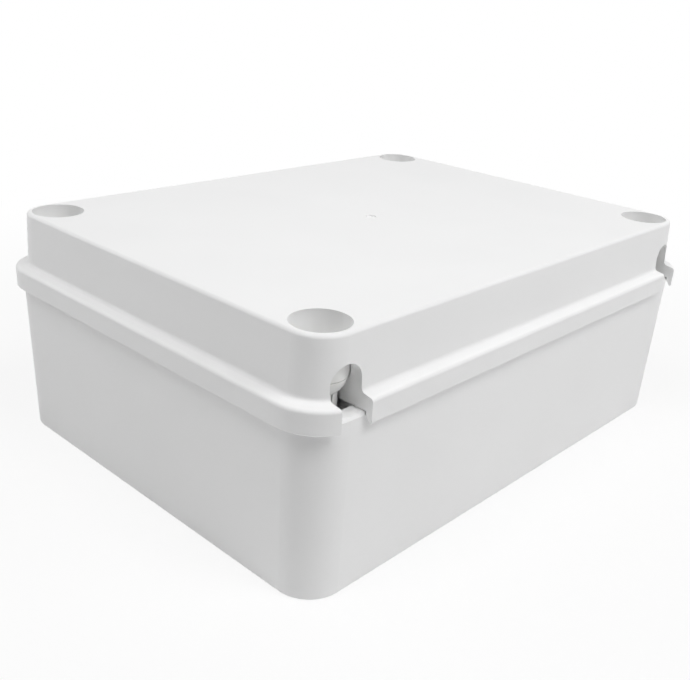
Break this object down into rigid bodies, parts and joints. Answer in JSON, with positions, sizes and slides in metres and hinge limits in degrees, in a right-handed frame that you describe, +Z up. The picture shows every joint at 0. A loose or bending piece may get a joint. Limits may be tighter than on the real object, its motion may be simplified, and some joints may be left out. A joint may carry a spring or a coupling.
{
  "type": "hinged polycarbonate enclosure",
  "caption": "Deep rectangular moulded electrical enclosure whose lid is drawn up and swung on ball-headed posts at one long side and closed by captive corner screws.",
  "frame": {"origin": "centre of the underside of the base, on the surface that it rests on", "axes": "+Z up through the lid, +X along the long side to the right, -Y towards the hinge side"},
  "size_m": [0.315, 0.2396, 0.12],
  "materials": {
    "base_polycarbonate": "fine satin moulded",
    "lid_polycarbonate": "fine satin moulded",
    "post_polyamide": "satin moulded",
    "screw_polyamide": "satin moulded",
    "ring_acetal": "smooth moulded",
    "seal_foam": "matt closed-cell foam",
    "insert_brass": "turned and knurled"
  },
  "bodies": {
    "base": {"base": "base_polycarbonate", "closing_insert_left": "insert_brass", "closing_insert_right": "insert_brass", "plate_insert_hinge_left": "insert_brass", "plate_insert_hinge_right": "insert_brass", "plate_insert_far_left": "insert_brass", "plate_insert_far_right": "insert_brass"},
    "hinge_posts": {"hinge_post_left": "post_polyamide", "hinge_post_right": "post_polyamide"},
    "lid": {"lid": "lid_polycarbonate", "gasket": "seal_foam"},
    "closing_collar_left": {"retaining_ring_left": "ring_acetal"},
    "closing_collar_right": {"retaining_ring_right": "ring_acetal"},
    "closing_screw_left": {"closing_screw_left": "screw_polyamide"},
    "closing_screw_right": {"closing_screw_right": "screw_polyamide"}
  },
  "joints": [
    {"name": "post_draw", "type": "slide", "parent": "base", "child": "hinge_posts", "axis": [0, 0, 1], "range_m": [0, 0.0612]},
    {"name": "lid_swing", "type": "hinge", "parent": "hinge_posts", "child": "lid", "pos_m": [0, -0.09675, 0.1005], "axis": [1, 0, 0], "range_deg": [0, 70]},
    {"name": "closing_left_rise", "type": "slide", "parent": "lid", "child": "closing_collar_left", "axis": [0, 0, 1], "range_m": [0, 0.007]},
    {"name": "closing_left_turn", "type": "hinge", "parent": "closing_collar_left", "child": "closing_screw_left", "pos_m": [-0.1345, 0.09675, 0.09], "axis": [0, 0, 1], "range_deg": [0, 1260]},
    {"name": "closing_right_rise", "type": "slide", "parent": "lid", "child": "closing_collar_right", "axis": [0, 0, 1], "range_m": [0, 0.007]},
    {"name": "closing_right_turn", "type": "hinge", "parent": "closing_collar_right", "child": "closing_screw_right", "pos_m": [0.1345, 0.09675, 0.09], "axis": [0, 0, 1], "range_deg": [0, 1260]}
  ],
  "couplings": [
    {"joint": "post_draw", "follows": "lid_swing", "m_per_rad": 0.05},
    {"joint": "closing_left_rise", "follows": "closing_left_turn", "m_per_rad": 0.000318},
    {"joint": "closing_right_rise", "follows": "closing_right_turn", "m_per_rad": 0.000318}
  ]
}
